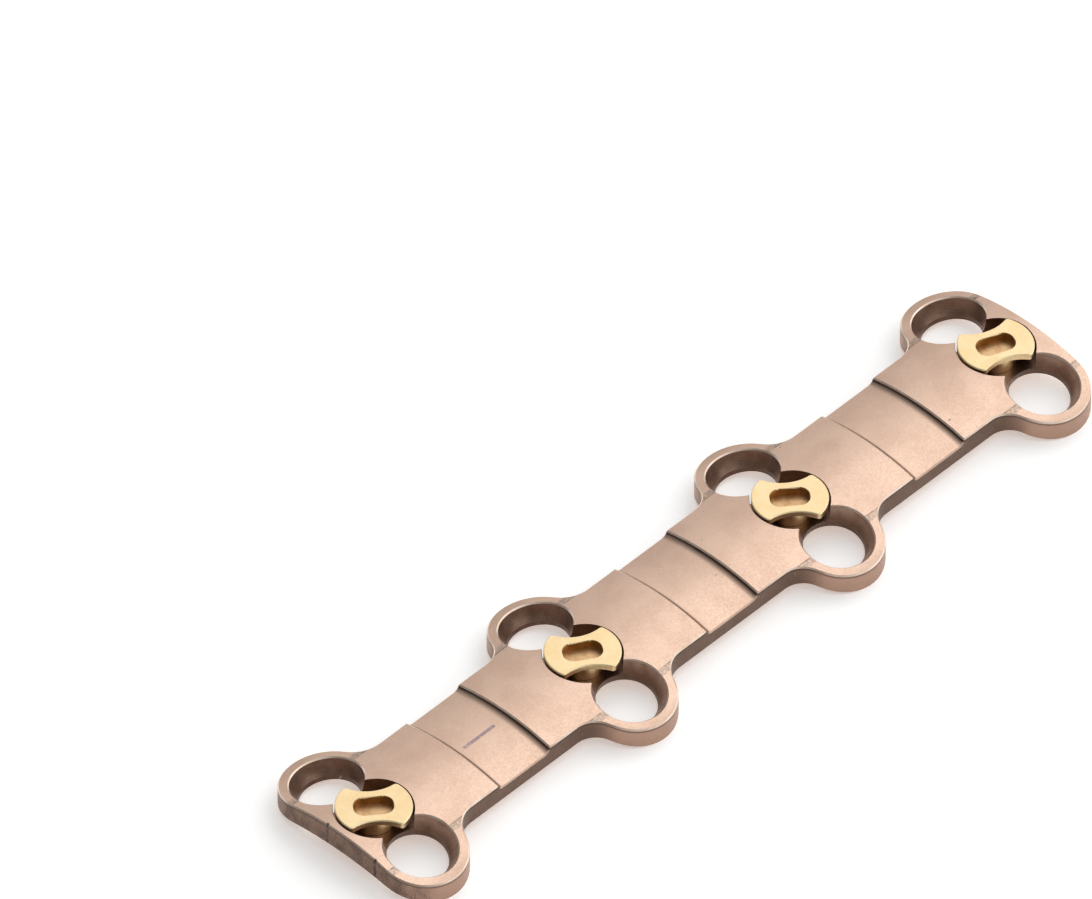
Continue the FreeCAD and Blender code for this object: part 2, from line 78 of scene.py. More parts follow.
# Plain laser marked bar in the first bend zone, along X and along Y.
BAR_ALONG = (-23.52 * MM, 1.7 * MM, 0.04 * MM)
BAR_ACROSS = (-0.27 * MM, 0.13 * MM, 0.04 * MM)
# Small dark nicks in the rim, X and Y, and the fade from the middle of one.
NICK_PLACES = ((-38.7 * MM, 1.3 * MM), (-38.75 * MM, -3.8 * MM), (38.2 * MM, 5.3 * MM))
NICK_FADE = (0.32 * MM, 0.42 * MM)
NICK_RAGGED = 0.5 * MM
# The outline walls are painted paler round the lobes, by |Y|, and towards the ends, by |X|, as
# painted light.
LOBE_LIGHT_FADE = (5.2 * MM, 7.2 * MM)
END_LIGHT_FADE = (36 * MM, 38 * MM)
# Painted dark reflection in a line along the walls, by depth below the outer face.
WALL_DARK_REFLECTION = (0.2 * MM, 0.03 * MM, 0.1 * MM)
# The end wall at low X is rubbed and cut.
RUBBED_FADE = (-38.2 * MM, -36.5 * MM)
# Painted shade in the high and the low end of a bend zone, by depth below the dome.
HIGH_STEP_SHADE_FADE = (0.18 * MM, 0.37 * MM)
LOW_STEP_SHADE_FADE = (0.38 * MM, 0.455 * MM)
# Distance between the rings that the form tool leaves in a seat.
RING_PITCH = 0.22 * MM

# Finishes of the plate and of a cam, in the order of their materials.
FACE, EDGE, WALL, SEAT, BORE, HIGH_STEP, LOW_STEP = range(7)
TOP, RIM, SLOT, SLOT_FLOOR = range(4)

# Faces are sorted by how far their normal rises, from 0, upright, to 1, level.
UPRIGHT_RISE = 0.2
BREAK_RISE = (0.3, 0.88)
UNDER_BREAK_RISE = (-0.9, -0.3)
SEAT_RISE = -0.6
STEP_RISE = 0.05
RIM_RISE = (0.3, 0.95)
SLOT_FLOOR_RISE = 0.9
# A step's normal leans along the plate by at least this.
STEP_LEAN = 0.12
# How near in plan a seat's or pocket's own faces are, and how deep they begin.
SEAT_NEAR = 0.3 * MM
SEAT_DEPTH = 0.12 * MM
# How wide of its radius a bore's faces may be.
BORE_NEAR = 0.1 * MM
# Depth of an edge break on the plate and of the rim on a cam.
BREAK_DEPTH = 0.11 * MM
RIM_DEPTH = 0.08 * MM
# How far a mesh may stray from the true surface.
STRAY = 0.02 * MM
# A slot's own faces begin this far below the top of the cam.
SLOT_TOP = 0.01 * MM

# Light of the studio. The room is brightest towards this direction, and its strength
# goes with the cosine of the angle to it. The cove is white up to a low height.
BRIGHT_SIDE = (0.75, -0.15, 0.64)
ROOM_COSINE = (0.05, 0.95)
ROOM_STRENGTH = (0.24, 1.3)
COVE_TOP = (0.02, 0.15)
COVE_STRENGTH = 1.0
# How much the floor is lifted where it is seen, directly or in the metal.
FLOOR_LIFT = 0.3
FLOOR_CORNERS = 96


# Settings

class PlateSettings(PropertyGroup):
    """Sizes and colours of the plate."""

    crown_radius: FloatProperty(
        name="Crown radius", description="Radius of the domed outer face, across the plate",
        default=20.5 * MM, unit="LENGTH")
    facet_start: FloatProperty(
        name="Facet start", description="Where the dome ends and the flat lobe facet begins",
        default=5.2 * MM, unit="LENGTH")
    facet_tilt: FloatProperty(
        name="Facet tilt", description="Fall of the lobe facets towards their outer edge",
        default=math.radians(12), subtype="ANGLE")
    hole_offset: FloatProperty(
        name="Screw hole offset", description="Screw hole centre from the middle line",
        default=5.07 * MM, unit="LENGTH")
    hole_radius: FloatProperty(
        name="Screw seat radius", description="Radius of a screw seat at its mouth",
        default=3.12 * MM, unit="LENGTH")
    bore_radius: FloatProperty(
        name="Bore radius", description="Radius of the short bore under a screw seat",
        default=2.47 * MM, unit="LENGTH")
    bore_drop: FloatProperty(
        name="Bore drop", description="Where the bore starts, below the lobe facet",
        default=1.38 * MM, unit="LENGTH")
    waist_half: FloatProperty(
        name="Half waist", description="Half width of the plate between two levels",
        default=4.95 * MM, unit="LENGTH")
    pocket_radius: FloatProperty(
        name="Cam pocket radius", description="Radius of the round pocket for a cam",
        default=3.22 * MM, unit="LENGTH")
    edge_round: FloatProperty(
        name="Edge round", description="Width of the small round on a sharp edge",
        default=0.05 * MM, unit="LENGTH")
    recess_depth: FloatProperty(
        name="Bend zone depth", description="Depth of the bend zones below the dome",
        default=0.45 * MM, unit="LENGTH")
    face_colour: StringProperty(
        name="Face colour", description="sRGB hex colour of the satin outer face",
        default="#d6b8a4")
    # Paler than the face: worn oxide and a painted highlight.
    edge_wear_and_highlight_colour: StringProperty(
        name="Edge colour", description="sRGB hex colour of the rubbed edges",
        default="#f5e2d2")
    # Painted shade: the walls are coloured darker than the face.
    wall_colour_with_painted_shade: StringProperty(
        name="Wall colour", description="sRGB hex colour of the milled outline walls",
        default="#786154")
    # Painted light: the lobe walls are coloured paler than the waist walls.
    lobe_wall_painted_light_colour: StringProperty(
        name="Lobe wall colour", description="sRGB hex colour of the walls round the lobes",
        default="#b49280")
    seat_colour: StringProperty(
        name="Seat colour", description="sRGB hex colour of the turned seats and pockets",
        default="#a38877")
    bore_colour: StringProperty(
        name="Bore colour", description="sRGB hex colour of the short bore under a seat",
        default="#6a5144")


class CamSettings(PropertyGroup):
    """Sizes and colours of the lock cams."""

    slot_half_length: FloatProperty(
        name="Half slot length", description="Half the length of the driver slot",
        default=1.62 * MM, unit="LENGTH")
    slot_half_width: FloatProperty(
        name="Half slot width", description="Half the width of the driver slot",
        default=0.96 * MM, unit="LENGTH")
    slot_depth: FloatProperty(
        name="Slot depth", description="Depth of the driver slot",
        default=0.78 * MM, unit="LENGTH")
    edge_round: FloatProperty(
        name="Edge round", description="Width of the small round on a sharp edge",
        default=0.04 * MM, unit="LENGTH")
    top_colour: StringProperty(
        name="Top colour", description="sRGB hex colour of the satin gold",
        default="#f0d6a9")
    # Paler than the top: worn gold and a painted highlight.
    edge_wear_and_highlight_colour: StringProperty(
        name="Edge colour", description="sRGB hex colour of the rubbed gold edges",
        default="#ffeec2")
    # Painted shade: the slot walls are coloured darker than the top.
    slot_wall_painted_shade_colour: StringProperty(
        name="Slot wall colour", description="sRGB hex colour of the driver slot's walls",
        default="#a87e4c")
    floor_colour: StringProperty(
        name="Slot floor colour", description="sRGB hex colour of the driver slot's floor",
        default="#e2bd8e")


class StageSettings(PropertyGroup):
    """Floor, light and camera."""

    floor_colour: StringProperty(
        name="Floor colour", description="sRGB hex colour of the pale floor",
        default="#fdfdfc")
    floor_radius: FloatProperty(
        name="Floor radius", description="Radius of the round floor",
        default=1.5, unit="LENGTH")
    azimuth: FloatProperty(
        name="Camera azimuth", description="Camera direction round the plate",
        default=math.radians(-46.15), subtype="ANGLE")
    elevation: FloatProperty(
        name="Camera elevation", description="Camera height over the horizon",
        default=math.radians(45.1), subtype="ANGLE")
    lens: FloatProperty(
        name="Lens", description="Focal length of the camera in millimetres", default=1300)
    view_width: FloatProperty(
        name="View width", description="Width that the frame shows at the plate",
        default=84.9 * MM, unit="LENGTH")
    view_shift: FloatVectorProperty(
        name="View shift", description="Frame centre from the middle of the cam tops, right and up",
        default=(-10.92 * MM, 9.65 * MM), size=2, unit="LENGTH")
    key_direction: FloatVectorProperty(
        name="Key lamp direction", description="Direction of the soft overhead lamp",
        default=(0.52, 0.12, 0.84), size=3, subtype="DIRECTION")
    key_distance: FloatProperty(
        name="Key lamp distance", description="Distance of the soft overhead lamp",
        default=0.6, unit="LENGTH")
    key_size: FloatProperty(
        name="Key lamp size", description="Side of the square overhead lamp",
        default=0.36, unit="LENGTH")
    key_power: FloatProperty(
        name="Key lamp power", description="Power of the overhead lamp in watts",
        default=0.32)


# Materials

def linear(code):
    """Turn an sRGB hex colour into the linear colour that the nodes take."""
    parts = np.array([int(code[i:i + 2], 16) for i in (1, 3, 5)]) / 255
    curve = np.where(parts <= 0.04045, parts / 12.92, ((parts + 0.055) / 1.055) ** 2.4)
    return (*curve.tolist(), 1.0)


def add_node(tree, kind, settings=None, inputs=None):
    """Add a node, set its properties, and fill or link its inputs."""
    node = tree.nodes.new(kind)
    for name, value in (settings or {}).items():
        setattr(node, name, value)
    for name, value in (inputs or {}).items():
        if isinstance(value, bpy.types.NodeSocket):
            tree.links.new(value, node.inputs[name])
        else:
            node.inputs[name].default_value = value
    return node


def new_material(name):
    """An empty node material with its output."""
    material = bpy.data.materials.new(name)
    material.use_nodes = True
    material.node_tree.nodes.clear()
    return material, material.node_tree


def noise(tree, coordinates, size, detail=3.0, stretch=(1, 1, 1), turn=(0, 0, 0)):
    """Noise whose features are about size metres across, stretched and then turned."""
    scale = tuple(size * part for part in stretch)
    placed = add_node(tree, "ShaderNodeMapping", {"vector_type": "TEXTURE"}, {
        "Vector": coordinates, "Rotation": turn, "Scale": scale})
    texture = add_node(tree, "ShaderNodeTexNoise", None, {
        "Vector": placed.outputs["Vector"], "Scale": 1.0, "Detail": detail,
        "Roughness": 0.55})
    return texture.outputs["Fac"]


def ramp(tree, value, low, high, out_low=0.0, out_high=1.0):
    """Map low..high smoothly to out_low..out_high."""
    node = add_node(tree, "ShaderNodeMapRange", {"interpolation_type": "SMOOTHSTEP"}, {
        "Value": value, "From Min": low, "From Max": high,
        "To Min": out_low, "To Max": out_high})
    return node.outputs["Result"]


def maths(tree, operation, first, second=0.0):
    """One arithmetic step."""
    node = add_node(tree, "ShaderNodeMath", {"operation": operation}, {0: first, 1: second})
    return node.outputs["Value"]


def band(tree, value, middle, half, soft):
    """1 within half of middle, falling to 0 over soft on both sides."""
    away = maths(tree, "ABSOLUTE", maths(tree, "SUBTRACT", value, middle))
    return ramp(tree, away, half, half + soft, 1.0, 0.0)


def blend(tree, factor, first, second):
    """Mix two colours, each a socket or an sRGB hex code."""
    first = linear(first) if isinstance(first, str) else first
    second = linear(second) if isinstance(second, str) else second
    node = add_node(tree, "ShaderNodeMix", {"data_type": "RGBA"}, {
        0: factor, 6: first, 7: second})
    return node.outputs[2]


def metal(name, colour, shade, patch, roughness, grain, bump, extra=None):
    """Satin anodised metal: cloudy colour, fine blasted grain and a few light scratches.

    The colour drifts to shade over patches of patch metres. The grain is grain metres
    across and raises the surface by bump metres. Extra may lay more over the colour.
    """
    # Real blasting leaves a grain of about 0.05 mm, which is too fine to show, so the
    # grain is drawn three or four times as coarse.
    material, tree = new_material(name)
    place = add_node(tree, "ShaderNodeTexCoord").outputs["Object"]
    cloud = ramp(tree, noise(tree, place, patch), 0.35, 0.68)
    fine = noise(tree, place, grain, 2.0)
    tone = blend(tree, cloud, colour, shade)
    tone = blend(tree, ramp(tree, fine, 0.35, 0.65, 0.0, 0.04), tone, "#000000")
    # Handling scratches, 1.5 mm long and 0.07 mm wide, in two directions.
    for turn in (0.5, -0.9):
        streak = noise(tree, place, 0.07 * MM, 1.0, (22, 1, 22), (0, 0, turn))
        mark = ramp(tree, streak, 0.76, 0.8, 0.0, 0.3)
        tone = blend(tree, mark, tone, "#fff2e4")
    if extra:
        tone = extra(tree, place, tone)
    satin = ramp(tree, fine, 0.3, 0.7, roughness - 0.05, roughness + 0.05)
    raised = add_node(tree, "ShaderNodeBump", None, {
        "Strength": 0.35, "Distance": bump, "Height": fine})
    shader = add_node(tree, "ShaderNodeBsdfPrincipled", None, {
        "Base Color": tone, "Metallic": 1.0, "Roughness": satin,
        "Normal": raised.outputs["Normal"]})
    add_node(tree, "ShaderNodeOutputMaterial", None, {"Surface": shader.outputs["BSDF"]})
    return material


def face_marks_and_painted_shade(tree, place, tone):
    """Marks and painted shade on the plate's outer face.

    A greyer, mottled band and a fine crease lie where the dome meets the lobe facets,
    which are darkened outwards as painted shade. Dark specks are left by handling, and a
    short plain bar is laser marked in the first bend zone.
    """
    axes = add_node(tree, "ShaderNodeSeparateXYZ", None, {"Vector": place})
    x, y = axes.outputs["X"], axes.outputs["Y"]
    side = maths(tree, "ABSOLUTE", y)
    mottle = ramp(tree, noise(tree, place, 0.22 * MM), 0.4, 0.6, 0.25, 0.8)
    worn = maths(tree, "MULTIPLY", band(tree, side, *SEAM_BAND), mottle)
    tone = blend(tree, worn, tone, "#988a7e")
    broken = ramp(tree, noise(tree, place, 0.6 * MM), 0.4, 0.55, 0.1, 0.6)
    crease = maths(tree, "MULTIPLY", band(tree, side, *CREASE_BAND), broken)
    tone = blend(tree, crease, tone, "#5d4a40")
    # Painted shade: the facets darken towards their outer edge.
    tone = blend(tree, ramp(tree, side, *FACET_SHADE_FADE, 0.0, 0.35), tone, "#9c8170")
    specks = ramp(tree, noise(tree, place, 0.5 * MM, 1.0), 0.79, 0.83, 0.0, 0.7)
    tone = blend(tree, specks, tone, "#6f5a4e")
    bar = maths(tree, "MULTIPLY", band(tree, x, *BAR_ALONG), band(tree, y, *BAR_ACROSS))
    faint = ramp(tree, noise(tree, place, 0.3 * MM), 0.3, 0.5, 0.35, 0.85)
    laser = maths(tree, "MULTIPLY", bar, faint)
    return nicks(tree, place, blend(tree, laser, tone, "#8d7a86"))


def nicks(tree, place, tone):
    """Three small ragged dark nicks in the rim."""
    flat = add_node(tree, "ShaderNodeVectorMath", {"operation": "MULTIPLY"}, {
        0: place, 1: (1, 1, 0)}).outputs["Vector"]
    ragged = maths(tree, "MULTIPLY", noise(tree, place, 0.12 * MM), NICK_RAGGED)
    for x, y in NICK_PLACES:
        away = add_node(tree, "ShaderNodeVectorMath", {"operation": "DISTANCE"}, {
            0: flat, 1: (x, y, 0)}).outputs["Value"]
        spot = ramp(tree, maths(tree, "ADD", away, ragged), *NICK_FADE, 0.85, 0.0)
        tone = blend(tree, spot, tone, "#3d302a")
    return tone


def wall_wear_and_painted_shading(lobe_light_colour):
    """Marks of the outline walls: painted light round the lobes and ends, a painted dark reflection
    under the rim, and scrapes at the low end.
    """
    def lay(tree, place, tone):
        """Blend in painted light at the lobes and ends, a painted dark reflection under the rim,
        rubs and scrapes.
        """
        axes = add_node(tree, "ShaderNodeSeparateXYZ", None, {"Vector": place})
        # Painted light: paler round the lobes and towards the ends.
        lobe = ramp(tree, maths(tree, "ABSOLUTE", axes.outputs["Y"]), *LOBE_LIGHT_FADE)
        along = maths(tree, "ABSOLUTE", axes.outputs["X"])
        end = ramp(tree, along, *END_LIGHT_FADE, 0.0, 0.45)
        tone = blend(tree, maths(tree, "MAXIMUM", lobe, end), tone, lobe_light_colour)
        depth = add_node(tree, "ShaderNodeAttribute", {"attribute_name": "depth"})
        # Painted dark reflection: a thin dark line just under the rim.
        line = band(tree, depth.outputs["Fac"], *WALL_DARK_REFLECTION)
        tone = blend(tree, maths(tree, "MULTIPLY", line, 0.65), tone, "#4d3c33")
        near_end = ramp(tree, axes.outputs["X"], *RUBBED_FADE, 1.0, 0.1)
        rub = ramp(tree, noise(tree, place, 1.1 * MM, 5.0), 0.35, 0.7, 0.3, 0.75)
        tone = blend(tree, maths(tree, "MULTIPLY", rub, near_end), tone, "#58473d")
        cut = noise(tree, place, 0.11 * MM, 2.0, (1, 1, 9), (0.25, 0, 0))
        cut = ramp(tree, cut, 0.58, 0.68, 0.0, 0.55)
        tone = blend(tree, maths(tree, "MULTIPLY", cut, near_end), tone, "#3f322b")
        return nicks(tree, place, tone)
    return lay


def step_painted_shade(fade, strength):
    """Painted shade in the end of a bend zone, as strong as strength before the fade."""
    def lay(tree, place, tone):
        """Blend the painted shade in by the depth below the dome."""
        depth = add_node(tree, "ShaderNodeAttribute", {"attribute_name": "depth"})
        dark = ramp(tree, depth.outputs["Fac"], *fade, strength, 0.0)
        return blend(tree, dark, tone, "#38261d")
    return lay


def turning_rings(tree, place, tone):
    """Faint rings that the form tool leaves down the wall of a seat."""
    axes = add_node(tree, "ShaderNodeSeparateXYZ", None, {"Vector": place})
    angle = maths(tree, "MULTIPLY", axes.outputs["Z"], math.tau / RING_PITCH)
    turns = maths(tree, "SINE", angle)
    return blend(tree, ramp(tree, turns, -1.0, 1.0, 0.0, 0.12), tone, "#6d5446")


# Mesh helpers

def merged(node):
    """Corners and triangles of a CAD node, with equal corners joined.

    Corners are rounded to a tenth of a micrometre and equal ones numbered once, and
    triangles that use a corner twice are dropped.
    """
    mesh = frame["nodes"][node].data
    mesh.calc_loop_triangles()
    places = np.empty(len(mesh.vertices) * 3)
    mesh.vertices.foreach_get("co", places)
    triangles = np.empty(len(mesh.loop_triangles) * 3, int)
    mesh.loop_triangles.foreach_get("vertices", triangles)
    keys = np.round(places.reshape(-1, 3) / 1e-7).astype(np.int64)
    _, first, number = np.unique(keys, axis=0, return_index=True, return_inverse=True)
    triangles = number.reshape(-1)[triangles].reshape(-1, 3)
    whole = (
        (triangles[:, 0] != triangles[:, 1])
        & (triangles[:, 1] != triangles[:, 2])
        & (triangles[:, 2] != triangles[:, 0])
    )
    return places.reshape(-1, 3)[first], triangles[whole]


def top_height(y, sizes):
    """Height of the outer face: an arc about the crown axis, then a straight fall."""
    side = np.abs(y)
    radius, start = sizes.crown_radius, sizes.facet_start
    dome = CROWN_Z - radius + np.sqrt(radius ** 2 - np.minimum(side, start) ** 2)
    return dome - np.tan(sizes.facet_tilt) * np.maximum(side - start, 0)


def face_values(mesh):
    """Centres and normals of all faces as arrays."""
    count = len(mesh.polygons)
    centres = np.empty(count * 3)
    mesh.polygons.foreach_get("center", centres)
    normals = np.empty(count * 3)
    mesh.polygons.foreach_get("normal", normals)
    return centres.reshape(-1, 3), normals.reshape(-1, 3)


def new_piece(name, mesh, materials, groups, width):
    """Put a mesh in the scene with its finishes, smooth faces and small edge rounds."""
    for material in materials:
        mesh.materials.append(material)
    mesh.polygons.foreach_set("material_index", groups.astype(np.int32))
    mesh.polygons.foreach_set("use_smooth", np.ones(len(mesh.polygons), bool))
    mesh.set_sharp_from_angle(angle=SMOOTH_ANGLE)
    piece = bpy.data.objects.new(name, mesh)
    bpy.context.scene.collection.objects.link(piece)
    rounds = piece.modifiers.new("edge_rounds", "BEVEL")
    rounds.limit_method = "ANGLE"
    rounds.angle_limit = SHARP_ANGLE
    rounds.width = width
    rounds.segments = 2
    rounds.miter_outer = "MITER_ARC"
    rounds.harden_normals = True
    return piece


# Operators

class BONEPLATE_OT_plate(Operator):
    """Build the milled plate with rounded edges and a finish for each kind of face"""

    bl_idname = "bone_plate.plate"
    bl_label = "Plate"

    def execute(self, context):
        """Copy the plate's solid, store each point's depth, sort its faces, dress them."""
        sizes = context.scene.bone_plate
        points, triangles = merged("plate")
        mesh = bpy.data.meshes.new("bone_plate_body")
        mesh.from_pydata(points.tolist(), [], triangles.tolist())
        mesh.update()
        centres, normals = face_values(mesh)
        groups = plate_groups(centres, normals, sizes)
        depth = mesh.attributes.new("depth", "FLOAT", "POINT")
        depth.data.foreach_set("value", top_height(points[:, 1], sizes) - points[:, 2])

        # Satin anodised titanium, milled, blasted and anodised bronze: cloudy, soft gloss.
        face = metal(
            "satin_bronze_anodised_titanium", sizes.face_colour, "#cdae9a",
            3.5 * MM, 0.42, 0.16 * MM, 0.012 * MM, face_marks_and_painted_shade)
        # The oxide is thin where an edge was deburred and handled, so it is bright; its pale colour
        # is partly a painted highlight.
        edge = metal(
            "rubbed_titanium_edge_painted_highlight", sizes.edge_wear_and_highlight_colour, "#e6cbb5",
            1.2 * MM, 0.32, 0.16 * MM, 0.004 * MM, nicks)
        # Outline walls keep the side marks of the milling cutter, and their darker colour is
        # painted shade.
        wall = metal(
            "milled_titanium_wall", sizes.wall_colour_with_painted_shade, "#725a4d",
            1.6 * MM, 0.45, 0.2 * MM, 0.014 * MM, wall_wear_and_painted_shading(sizes.lobe_wall_painted_light_colour))
        # Seats and pockets are turned with a form tool, which leaves faint rings.
        seat = metal(
            "turned_titanium_seat", sizes.seat_colour, "#8c6f5f",
            1.5 * MM, 0.38, 0.2 * MM, 0.008 * MM, turning_rings)
        # The two ends of a bend zone are darkened with painted shade.
        high_step = metal(
            "painted_shade_titanium_high_step", sizes.face_colour, "#cdae9a",
            3.5 * MM, 0.42, 0.16 * MM, 0.008 * MM, step_painted_shade(HIGH_STEP_SHADE_FADE, 0.92))
        low_step = metal(
            "painted_shade_titanium_low_step", sizes.face_colour, "#cdae9a",
            3.5 * MM, 0.42, 0.16 * MM, 0.008 * MM, step_painted_shade(LOW_STEP_SHADE_FADE, 0.7))
        # The short bore under each seat is reamed, and is coloured the darkest.
        bore = metal(
            "reamed_titanium_bore", sizes.bore_colour, "#5c463a",
            1.5 * MM, 0.4, 0.2 * MM, 0.006 * MM)
        piece = new_piece(
            "bone_plate_body", mesh, (face, edge, wall, seat, bore, high_step, low_step),
            groups, sizes.edge_round)
        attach(piece, "plate")
        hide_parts("plate")
        return {"FINISHED"}


def plate_groups(centres, normals, sizes):
    """Which finish each face of the plate has, as a number for each face.

    An edge break is a sloping face just under the outer face, or round the underside.
    A wall stands upright. It belongs to a seat or pocket when it is near to one in
    plan, or when it is a sloping face inside one. A bore face is as far from its
    hole's leaning axis as the bore is wide, and lies below the foot of the seat. A
    step, at the end of a bend zone, turns along the plate.
    """
    x, y, z = centres.T
    up = normals[:, 2]
    depth = top_height(y, sizes) - z
    along = np.abs(x[:, None] - LEVEL_X[None, :]).min(axis=1)
    across = np.abs(y) - sizes.hole_offset
    to_pocket = np.hypot(along, y) - sizes.pocket_radius
    to_hole = np.hypot(along, across) - sizes.hole_radius
    inside = np.minimum(to_pocket, to_hole) < SEAT_NEAR
    groups = np.full(len(x), FACE)
    groups[np.abs(up) < UPRIGHT_RISE] = WALL
    groups[inside & (depth > SEAT_DEPTH) & (up > SEAT_RISE)] = SEAT

    facet = top_height(sizes.facet_start, sizes)
    facet += math.tan(sizes.facet_tilt) * (sizes.facet_start - sizes.hole_offset)
    lean, rise = math.sin(sizes.facet_tilt), math.cos(sizes.facet_tilt)
    height = across * lean + (z - facet) * rise
    from_axis = np.hypot(along, across * rise - (z - facet) * lean)
    in_bore = (from_axis < sizes.bore_radius + BORE_NEAR) & (height < -sizes.bore_drop)
    groups[in_bore & (groups == SEAT)] = BORE

    step = (
        (np.abs(normals[:, 0]) > STEP_LEAN) & (np.abs(y) < sizes.waist_half) & ~inside
        & (depth > STRAY) & (depth < sizes.recess_depth + STRAY)
        & (np.abs(x) < LEVEL_X[-1]) & (up > STEP_RISE)
    )
    groups[step & (normals[:, 0] < 0)] = HIGH_STEP
    groups[step & (normals[:, 0] > 0)] = LOW_STEP
    shallow = (depth < BREAK_DEPTH) & (depth > -STRAY)
    groups[shallow & (up > BREAK_RISE[0]) & (up < BREAK_RISE[1])] = EDGE
    groups[~inside & (up > UNDER_BREAK_RISE[0]) & (up < UNDER_BREAK_RISE[1])] = EDGE
    return groups


class BONEPLATE_OT_cams(Operator):
    """Build the four gold lock cams with rounded edges and a darker driver slot"""

    bl_idname = "bone_plate.cams"
    bl_label = "Lock cams"

    def execute(self, context):
        """Copy each cam's solid, sort its faces and dress them."""
        sizes = context.scene.bone_cams
        # Titanium anodised pale gold after turning and milling, satin and even.
        top = metal(
            "pale_gold_anodised_titanium", sizes.top_colour, "#ebcf9e",
            1.4 * MM, 0.34, 0.15 * MM, 0.006 * MM)
        # Deburred and handled rims, where the gold is thin, duller and nearly white, the paleness
        # partly a painted highlight.
        rim = metal(
            "rubbed_gold_rim_painted_highlight", sizes.edge_wear_and_highlight_colour, "#f9e3b2",
            0.8 * MM, 0.48, 0.15 * MM, 0.003 * MM)
        # The slot is milled: its walls are painted brown as painted shade, and its floor is peach.
        slot = metal(
            "gold_slot_wall_painted_shade", sizes.slot_wall_painted_shade_colour, "#8f6839",
            0.7 * MM, 0.36, 0.15 * MM, 0.008 * MM)
        slot_floor = metal(
            "milled_peach_slot_floor", sizes.floor_colour, "#d0a578",
            0.7 * MM, 0.4, 0.2 * MM, 0.012 * MM)
        for level, joint in enumerate(JOINTS, start=1):
            points, triangles = merged(f"lock_cam_{level}")
            name = f"gold_lock_cam_{level}"
            mesh = bpy.data.meshes.new(name)
            mesh.from_pydata(points.tolist(), [], triangles.tolist())
            mesh.update()
            groups = cam_groups(*face_values(mesh), joint, sizes)
            piece = new_piece(
                name, mesh, (top, rim, slot, slot_floor), groups, sizes.edge_round)
            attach(piece, joint["child"])
            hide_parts(f"lock_cam_{level}")
        return {"FINISHED"}


def cam_groups(centres, normals, joint, sizes):
    """Which finish each face of a cam has, as a number for each face.

    The face centres are turned back to the cam's open position, where the slot lies
    along X, and a face in the slot's rectangle below the rim belongs to the slot.
    """
    turn = math.radians(joint["range_deg"][1])
    x, y = centres[:, 0] - joint["pos_m"][0], centres[:, 1]
    along = np.abs(x * math.cos(turn) - y * math.sin(turn))
    across = np.abs(x * math.sin(turn) + y * math.cos(turn))
    depth = CAM_TOP - centres[:, 2]
    up = normals[:, 2]
    groups = np.full(len(x), TOP)
    groups[(depth < RIM_DEPTH) & (up > RIM_RISE[0]) & (up < RIM_RISE[1])] = RIM
    in_slot = (along < sizes.slot_half_length) & (across < sizes.slot_half_width)
    groups[in_slot & (depth > SLOT_TOP) & (depth < sizes.slot_depth)] = SLOT
    groups[(groups == SLOT) & (up > SLOT_FLOOR_RISE)] = SLOT_FLOOR
    return groups


class BONEPLATE_OT_stage(Operator):
    """Set the floor, the soft studio light and the camera"""

    bl_idname = "bone_plate.stage"
    bl_label = "Stage"

    def execute(self, context):
        """Lay the floor, light the world, hang the lamp and place the camera."""
        sizes = context.scene.bone_stage
        lay_floor(sizes)
        light_world(context.scene)
        hang_lamp(sizes)
        place_camera(context.scene, sizes)
        context.scene.view_settings.view_transform = "Standard"
        return {"FINISHED"}


def lay_floor(sizes):
    """A round floor: one ring of points at equal angles, joined as one face."""
    angle = np.linspace(0, math.tau, FLOOR_CORNERS, endpoint=False)
    ring = np.column_stack([np.cos(angle), np.sin(angle), 0 * angle]) * sizes.floor_radius
    mesh = bpy.data.meshes.new("floor")
    mesh.from_pydata(ring.tolist(), [], [list(range(FLOOR_CORNERS))])
    floor = bpy.data.objects.new("floor", mesh)
    bpy.context.scene.collection.objects.link(floor)
    # Matt white paper sweep. Seen directly or in the metal it is lifted to full white,
    # and it keeps the shadow.
    material, tree = new_material("matt_white_paper")
    paper = add_node(tree, "ShaderNodeBsdfDiffuse", None, {
        "Color": linear(sizes.floor_colour)})
    rays = add_node(tree, "ShaderNodeLightPath").outputs
    seen = maths(tree, "MAXIMUM", rays["Is Camera Ray"], rays["Is Glossy Ray"])
    seen = maths(tree, "MAXIMUM", seen, rays["Is Transmission Ray"])
    lift = add_node(tree, "ShaderNodeEmission", None, {
        "Color": linear("#ffffff"), "Strength": maths(tree, "MULTIPLY", seen, FLOOR_LIFT)})
    both = add_node(tree, "ShaderNodeAddShader", None, {
        0: paper.outputs["BSDF"], 1: lift.outputs["Emission"]})
    add_node(tree, "ShaderNodeOutputMaterial", None, {"Surface": both.outputs["Shader"]})
    mesh.materials.append(material)


